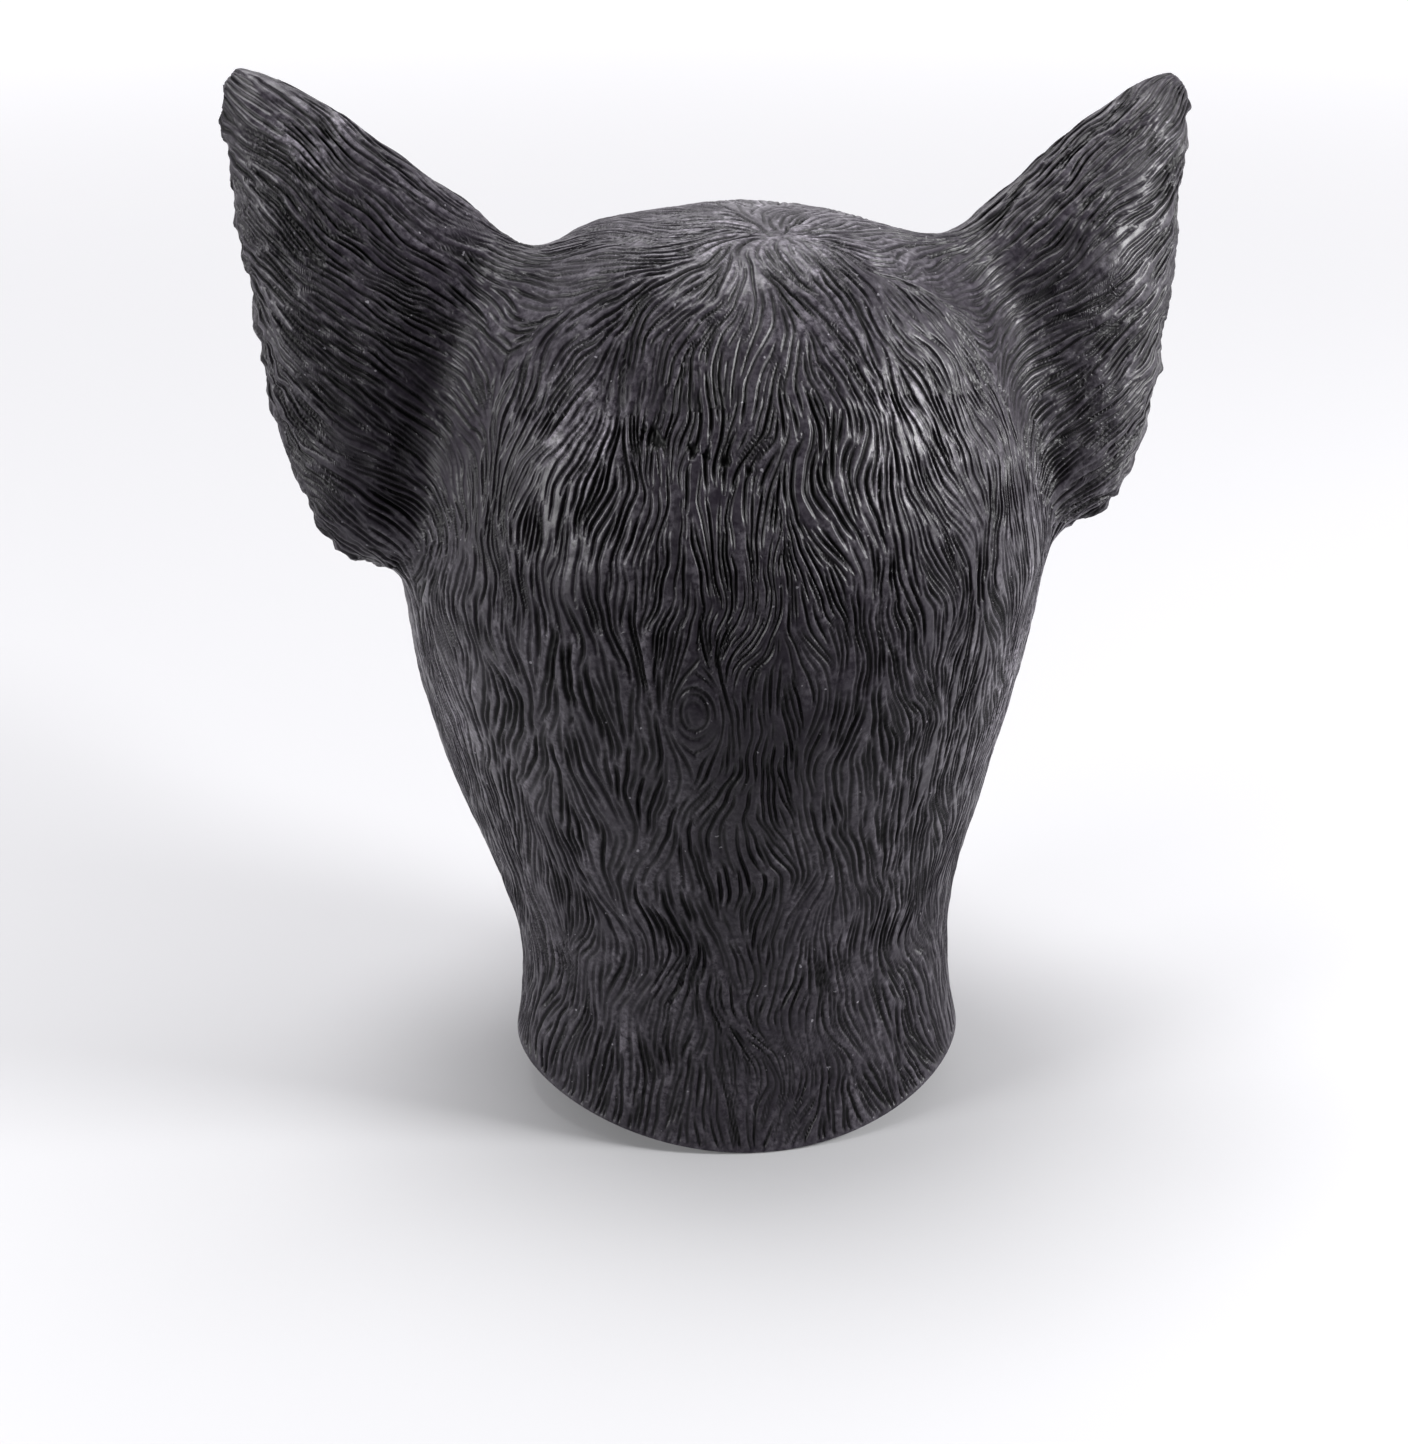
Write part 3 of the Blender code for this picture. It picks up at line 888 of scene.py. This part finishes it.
def cutIntoPieces(mesh, material):
    layer = mesh.attributes.new("skinNormal", "FLOAT_VECTOR", "POINT")
    layer.data.foreach_set("vector", vertexArray(mesh, "normal").astype(np.float32).ravel())
    whole = bmesh.new()
    whole.from_mesh(mesh)
    for number, zone in enumerate(zones):
        part = whole.copy()
        layer = part.faces.layers.int["zone"]
        dropFaces(part, [face for face in part.faces if face[layer] != number])
        if not part.faces:
            continue
        piece = finishPiece(meshOf(part, zone), zone, material)
        values = np.empty(len(piece.data.vertices) * 3, dtype=np.float32)
        piece.data.attributes["skinNormal"].data.foreach_get("vector", values)
        piece.data.normals_split_custom_set_from_vertices(values.reshape(-1, 3).tolist())
        piece.data.attributes.remove(piece.data.attributes["skinNormal"])
        tell(zone, "triangles:", sum(len(polygon.vertices) - 2 for polygon in piece.data.polygons))
        part.free()


cutIntoPieces(carved, carvedLatex(latexLook))


# The inner skin is drawn in where rounding has left it too near the outer one, as at the ears' lobes
insideFit = {
    "levels": 2,
    "nearest": 0.0018,  # m to the outer skin
    "drawnTo": 0.0019,
    "rimClear": 0.004,  # m from an open edge that stay as they are
}


def keptInside(bm, skin):
    tree = BVHTree.FromBMesh(skin)
    rims = treeOf([vert.co for vert in skin.verts if vert.is_boundary])
    for vert in bm.verts:
        place, normal, index, distance = tree.find_nearest(vert.co)
        tooNear = (vert.co - place).dot(normal) > -insideFit["nearest"]
        if tooNear and rims.find(vert.co)[2] > insideFit["rimClear"]:
            vert.co = place - normal * insideFit["drawnTo"]
    return bm


inside = keptInside(subdivided(inner, insideFit["levels"]), fine)
finishPiece(meshOf(inside, "inside"), "inside", plainLatex(insideLook))


# Studio: a white sweep in a light tent, open on the side where the camera stands
studio = {
    "paper": "#c4c4c6",
    "paperSize": 14.0,
    "paperDrop": 0.0005,  # m below the hem
    "paperMatt": (0.9, 0.1),  # roughness and specular
    "paperGlow": (0.06, 0.80),  # painted light: the paper itself glows, faintly near the object and more so further off
    "glowOver": (0.4, 2.6),  # m
    "glowColour": (0.98, 0.98, 1.0, 1),
    "dimmedOver": (-0.1, 0.5),  # y: towards the camera the floor lights the fur less than it looks bright
    "dimmedTo": 0.1,
    "tent": 1.04,
    "tentOpening": 0.01,
    "openTowards": (0.10, 0.93, 0.35),
    "openOver": (-0.20, 0.62),  # cosines of the angle from there
    "tentColour": (0.985, 0.965, 1.0, 1),
    "backdrop": 1.05,  # how bright the paper hung behind the object looks from any side
    "lampAim": (0, 0, -0.15),
    "lamps": {
        "overhead": {"place": (0.1, -0.30, 1.3), "size": 0.8, "watts": 18},
        "right": {"place": (-1.25, 0.50, 0.40), "size": 0.4, "watts": 23},
        "left": {"place": (1.25, 0.45, 0.20), "size": 0.4, "watts": 10},
    },
}


def mattPaper(studio):
    # uncoated paper: no gloss, and a glow of painted light, as if the floor under it were lit
    material, tree = newMaterial("matt_paper")
    coords = addNode(tree, "ShaderNodeTexCoord").outputs["Object"]
    away = addNode(tree, "ShaderNodeVectorMath", {"operation": "LENGTH"}, {0: coords}).outputs["Value"]
    (begin, end), (faint, full) = studio["glowOver"], studio["paperGlow"]
    glow = addNode(tree, "ShaderNodeMapRange", {
        "From Min": begin, "From Max": end, "To Min": faint, "To Max": full,
    }, {"Value": away}).outputs[0]
    behind = addNode(tree, "ShaderNodeSeparateXYZ", {}, {0: coords}).outputs["Y"]
    begin, end = studio["dimmedOver"]
    dimmed = addNode(tree, "ShaderNodeMapRange", {
        "interpolation_type": "SMOOTHSTEP", "From Min": begin, "From Max": end,
        "To Min": 1.0, "To Max": studio["dimmedTo"],
    }, {"Value": behind}).outputs[0]
    direct = addNode(tree, "ShaderNodeLightPath").outputs["Is Camera Ray"]
    share = addNode(tree, "ShaderNodeMath", {"operation": "MAXIMUM"}, {0: dimmed, 1: direct}).outputs[0]
    glow = addNode(tree, "ShaderNodeMath", {"operation": "MULTIPLY"}, {0: glow, 1: share}).outputs[0]
    colour = addNode(tree, "ShaderNodeMix", {
        "data_type": "RGBA", 6: (0, 0, 0, 1), 7: linear(studio["paper"]),
    }, {0: share}).outputs[2]
    rough, specular = studio["paperMatt"]
    shader = addNode(tree, "ShaderNodeBsdfPrincipled", {
        "Roughness": rough, "Specular IOR Level": specular, "Emission Color": studio["glowColour"],
    }, {"Base Color": colour, "Emission Strength": glow})
    addNode(tree, "ShaderNodeOutputMaterial", {}, {"Surface": shader.outputs[0]})
    return material


def lightTent(studio):
    world = bpy.data.worlds.new("tent")
    world.use_nodes = True
    tree = world.node_tree
    tree.nodes.clear()
    towards = addNode(tree, "ShaderNodeTexCoord").outputs["Generated"]
    facing = addNode(tree, "ShaderNodeVectorMath", {
        "operation": "DOT_PRODUCT", 1: Vector(studio["openTowards"]).normalized(),
    }, {0: towards}).outputs["Value"]
    begin, end = studio["openOver"]
    strength = addNode(tree, "ShaderNodeMapRange", {
        "interpolation_type": "SMOOTHSTEP", "From Min": begin, "From Max": end,
        "To Min": studio["tent"], "To Max": studio["tentOpening"],
    }, {"Value": facing}).outputs[0]
    direct = addNode(tree, "ShaderNodeLightPath").outputs["Is Camera Ray"]
    strength = addNode(tree, "ShaderNodeMix", {
        "data_type": "FLOAT", 3: studio["backdrop"],
    }, {0: direct, 2: strength}).outputs[0]
    background = addNode(tree, "ShaderNodeBackground", {
        "Color": studio["tentColour"],
    }, {"Strength": strength})
    addNode(tree, "ShaderNodeOutputWorld", {}, {"Surface": background.outputs[0]})
    return world


def studioSet(studio):
    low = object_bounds()[0][2]
    bm = bmesh.new()
    bmesh.ops.create_grid(bm, x_segments=1, y_segments=1, size=studio["paperSize"])
    bmesh.ops.translate(bm, verts=bm.verts, vec=(0, 0, low - studio["paperDrop"]))
    paper = bpy.data.objects.new("paper", meshOf(bm, "paper"))
    paper.data.materials.append(mattPaper(studio))
    bpy.context.scene.collection.objects.link(paper)
    paper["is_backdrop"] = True
    bpy.context.scene.world = lightTent(studio)

    for name, lamp in studio["lamps"].items():
        light = bpy.data.lights.new(name, "AREA")
        light.size = lamp["size"]
        light.energy = lamp["watts"]
        holder = bpy.data.objects.new(name, light)
        holder.location = lamp["place"]
        aim = Vector(studio["lampAim"]) - holder.location
        holder.rotation_euler = aim.to_track_quat("-Z", "Y").to_euler()
        bpy.context.scene.collection.objects.link(holder)
    bpy.context.scene.view_settings.view_transform = "Standard"


studioSet(studio)


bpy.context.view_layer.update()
tell("sizes written")
